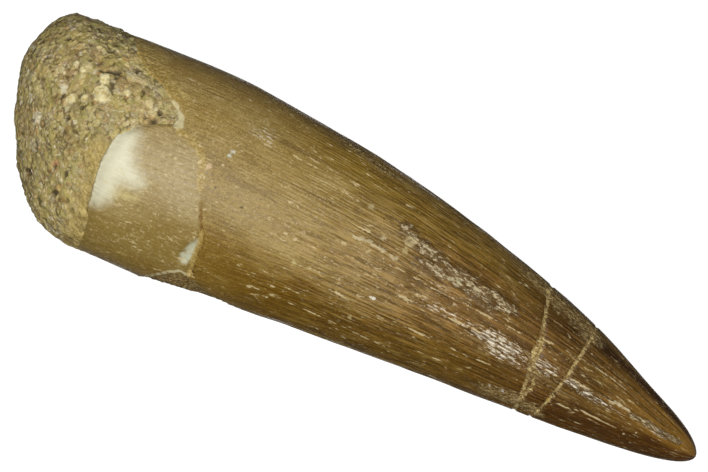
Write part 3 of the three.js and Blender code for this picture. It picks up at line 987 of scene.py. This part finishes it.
    # Crusts are pale flecks over the striae, thicker towards the middle of each patch
    crust = shader.field("crust")
    lumps = shader.noise(0.45, 0.45, detail=4, roughness=0.75)
    cover = shader.maths("ADD", shader.product(crust, 0.3), lumps)
    within = shader.between(crust, 0.1, 0.4)
    crust_cover = shader.product(shader.between(cover, 0.69, 0.75), within, 0.75)
    # A dark ring round each crust fleck is painted shade
    crust_painted_shade = shader.product(shader.between(cover, 0.6, 0.67), within, 0.65)
    shader.over(crust_painted_shade, (74, 52, 22))
    shader.over(crust_cover, shader.mix(shader.between(mottle, 0.54, 0.4), (112, 86, 46), (210, 194, 154)))

    # Pale lines, lumpy streaks and what fills the cracks
    broken = shader.noise(0.4, 0.5, roughness=0.75)
    shader.over(shader.mark("lines", broken, 1.0, 0.5, 0.85, 0.75), (204, 184, 136))
    shader.over(shader.mark("streaks", breaks, 0.8, 0.5, 0.85, 0.55), (210, 196, 156))
    filler = shader.mark("filler", breaks, 0.25, 0.4, 0.62)
    filler_colour = shader.mix(shader.between(speckle, 0.4, 0.62), (116, 88, 38), (208, 186, 126))
    patches = shader.noise(0.9, roughness=0.7)
    shader.over(shader.product(filler, shader.between(patches, 0.38, 0.56, 0.4, 1.0)), filler_colour)
    shader.over(shader.product(shader.mark("sand", breaks, 0.25, 0.4, 0.65), 0.7), ochre_colour)
    shader.over(shader.mark("brown", breaks, 0.4, 0.35, 0.8, 0.75), (112, 78, 28))

    place = shader.field("laid", "Vector")
    for x, at_angle, reach, spot_colour in SPOTS:
        spot = shader.near(place, (*laid_out(x, at_angle).tolist(), 0), reach, breaks)
        shader.over(shader.product(spot, 0.7), spot_colour)

    gloss = shader.between(striae, 0.35, 0.65, 0.4, 0.2)
    gloss = shader.maths("ADD", gloss, shader.between(crown, 0, 1, 0.2, 0))
    dull = shader.maths("MAXIMUM", rough, shader.maths("MAXIMUM", filler, crust_cover))
    gloss = shader.maths("MAXIMUM", gloss, shader.product(dull, 0.85))
    shader.put(shader.surface, {"Base Color": shader.colour, "IOR": ENAMEL_IOR, "Roughness": gloss})
    lines_deep = shader.product(striae, unworn, shader.between(crown, 0, 1, 0.4, 1))
    grains_high = shader.product(speckle, shader.maths("MAXIMUM", dull, 0.25))
    shader.bump(shader.maths("SUBTRACT", grains_high, lines_deep), ENAMEL_BUMP)
    return shader.material


def sandstone_material():
    shader = Shader("sandstone")

    # The place is moved about a little, so that no grain is regular
    bend = shader.noise(0.3, detail=2.0, roughness=0.5, output="Color")
    shader.place = shader.vector_maths("MULTIPLY_ADD", bend, (0.4 * MM,) * 3, shader.place)[0]

    def grain_colour(number):
        return shader.ramp(number, [
            (0.0, (104, 90, 38)), (0.14, (182, 165, 92)), (0.28, (222, 206, 150)),
            (0.38, (182, 140, 76)), (0.48, (144, 120, 84)), (0.58, (206, 194, 138)),
            (0.68, (122, 92, 44)), (0.78, (240, 230, 198)), (0.9, (164, 152, 82)),
        ])

    distance, cell_colour = shader.cells(0.24)
    wide_distance, wide_colour = shader.cells(0.42)
    clouds = shader.noise(1.6, detail=4)
    dust = shader.noise(0.2, roughness=0.7)
    pick = shader.between(clouds, 0.45, 0.55)
    cell = shader.add("ShaderNodeSeparateColor", {0: shader.mix(pick, cell_colour, wide_colour)})
    distance = shader.maths("ADD", shader.product(distance, 0.6), shader.product(wide_distance, 0.4))
    dusty = shader.between(dust, 0.45, 0.6, 0.1, 0.5)
    shader.colour = shader.mix(dusty, grain_colour(cell.outputs[0]), grain_colour(clouds))
    own = shader.between(shader.field("cavity"), 0.6, 0.2, 0, 0.65)
    shader.over(own, grain_colour(shader.field("grain")))
    regions = shader.noise(2.6)
    shader.tint(
        (clouds, 0.55, 0.7, 0.4, (146, 134, 74)),
        (clouds, 0.46, 0.3, 0.4, (194, 172, 96)),
        (regions, 0.5, 0.64, 0.3, (146, 131, 80)),
        (regions, 0.48, 0.36, 0.3, (190, 158, 100)),
    )
    # Painted shade darkens the gaps between the grains, patchily
    patchy = shader.between(shader.noise(1.0, roughness=0.7), 0.4, 0.6, 0.15, 0.8)
    plain = shader.maths("MAXIMUM", shader.field("fillet"), shader.field("pale"))
    gap_shade = shader.product(shader.between(distance, 0.5, 0.75), patchy, shader.between(plain, 0, 1, 1, 0.25))
    shader.over(gap_shade, (80, 64, 26))
    fillet_colour = shader.mix(shader.between(dust, 0.4, 0.62), (156, 130, 64), (196, 174, 106))
    lump_colour = shader.mix(shader.between(dust, 0.36, 0.58), (206, 184, 108), (236, 224, 176))
    # Of these tones, the dark ones in the cavities between grains and in the holes and pores are painted
    # shade
    places = (
        ("fillet", 0.8, fillet_colour), ("pale", 0.85, lump_colour), ("pink", 0.6, (204, 142, 100)),
        ("cavity", 0.45, (98, 80, 38)), ("hole", 0.85, (56, 44, 20)),
    )
    for name, share, tone in places:
        shader.over(shader.product(shader.field(name), share), tone)
    shader.put(shader.surface, {"Base Color": shader.colour, "Roughness": STONE_ROUGHNESS})
    shader.bump(shader.maths("SUBTRACT", shader.product(dust, 0.35), distance), STONE_BUMP)
    return shader.material


# The scene round the fossil

FLOOR_SIZE = 8.0
FLOOR_COLOUR = 0.2
FLOOR_ROUGHNESS = 0.9
FLOOR_GLOW = 0.93
WORLD_GLOW = 0.13

# The lights' names, places and widths in metres and power in watts. The second stands for the light
# that a pale floor throws back up.
LIGHTS = (
    ("overhead", (0.0, -0.05, 0.5), 0.28, 2.74),
    ("from_floor", (0.0, 0.0, -0.4), 0.3, 0.45),
)
LIGHT_AIM = (0, 0, 0.004)

# The camera looks straight down, turned as in the photo, from as far as its long lens needs
PHOTO_TURN = math.radians(27.62)
PHOTO_WIDTH_PX = 708
MM_PER_PX = 0.05744
LENS = 300.0
SENSOR = 36.0
LOOK_AT_X = 21.457
LOOK_AT_Y = 1.114
LOOK_AT_Z = 4.0


def make_camera():
    camera_data = bpy.data.cameras.new("camera")
    camera_data.lens = LENS
    camera_data.sensor_width = SENSOR
    camera = in_scene("camera", camera_data)
    distance = PHOTO_WIDTH_PX * MM_PER_PX * LENS / SENSOR
    spot = np.array([LOOK_AT_X, LOOK_AT_Y, LOOK_AT_Z + distance]) + shift
    camera.location = tuple(spot * MM)
    camera.rotation_euler = (0, 0, PHOTO_TURN)
    camera_data.clip_start = 0.01
    camera_data.clip_end = 10
    bpy.context.scene.camera = camera


def make_floor():
    half = FLOOR_SIZE / 2
    mesh = bpy.data.meshes.new("floor")
    corners = [(-half, -half, 0), (half, -half, 0), (half, half, 0), (-half, half, 0)]
    mesh.from_pydata(corners, [], [(0, 1, 2, 3)])
    floor = in_scene("floor", mesh)
    shader = Shader("pale_floor")
    shader.put(shader.surface, {
        "Base Color": (FLOOR_COLOUR, FLOOR_COLOUR, FLOOR_COLOUR, 1),
        "Roughness": FLOOR_ROUGHNESS,
        "Emission Color": (1, 1, 1, 1),
        "Emission Strength": FLOOR_GLOW,
    })
    floor.visible_diffuse = False
    floor.visible_glossy = False
    floor.visible_shadow = False
    mesh.materials.append(shader.material)


def make_light(name, place, size, power):
    light_data = bpy.data.lights.new(name, "AREA")
    light_data.shape = "DISK"
    light_data.size = size
    light_data.energy = power
    light = in_scene(name, light_data)
    light.location = place
    toward = Vector(LIGHT_AIM) - light.location
    light.rotation_mode = "QUATERNION"
    light.rotation_quaternion = toward.to_track_quat("-Z", "Y")


def make_world():
    world = bpy.data.worlds.new("studio")
    world.use_nodes = True
    background = next(n for n in world.node_tree.nodes if n.type == "BACKGROUND")
    background.inputs["Color"].default_value = (1, 1, 1, 1)
    background.inputs["Strength"].default_value = WORLD_GLOW
    bpy.context.scene.world = world


# The origin of the frame is below the middle of the fossil. The solid tooth's tip shows the shift.
tip_in_frame = max((v.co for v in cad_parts["tooth"].data.vertices), key=lambda co: co.x)
shift = np.array([tip_in_frame.x / MM - LENGTH, tip_in_frame.y / MM - float(centre_y(LENGTH)), 0.0])

tooth = make_tooth()
tooth.data.materials.append(tooth_material())
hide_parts("tooth")
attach(tooth, "root")

sandstone = make_sandstone()
sandstone.data.materials.append(sandstone_material())
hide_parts("matrix")
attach(sandstone, "root")

make_camera()
make_floor()
make_world()
for light_facts in LIGHTS:
    make_light(*light_facts)
bpy.context.scene.view_settings.view_transform = "Standard"
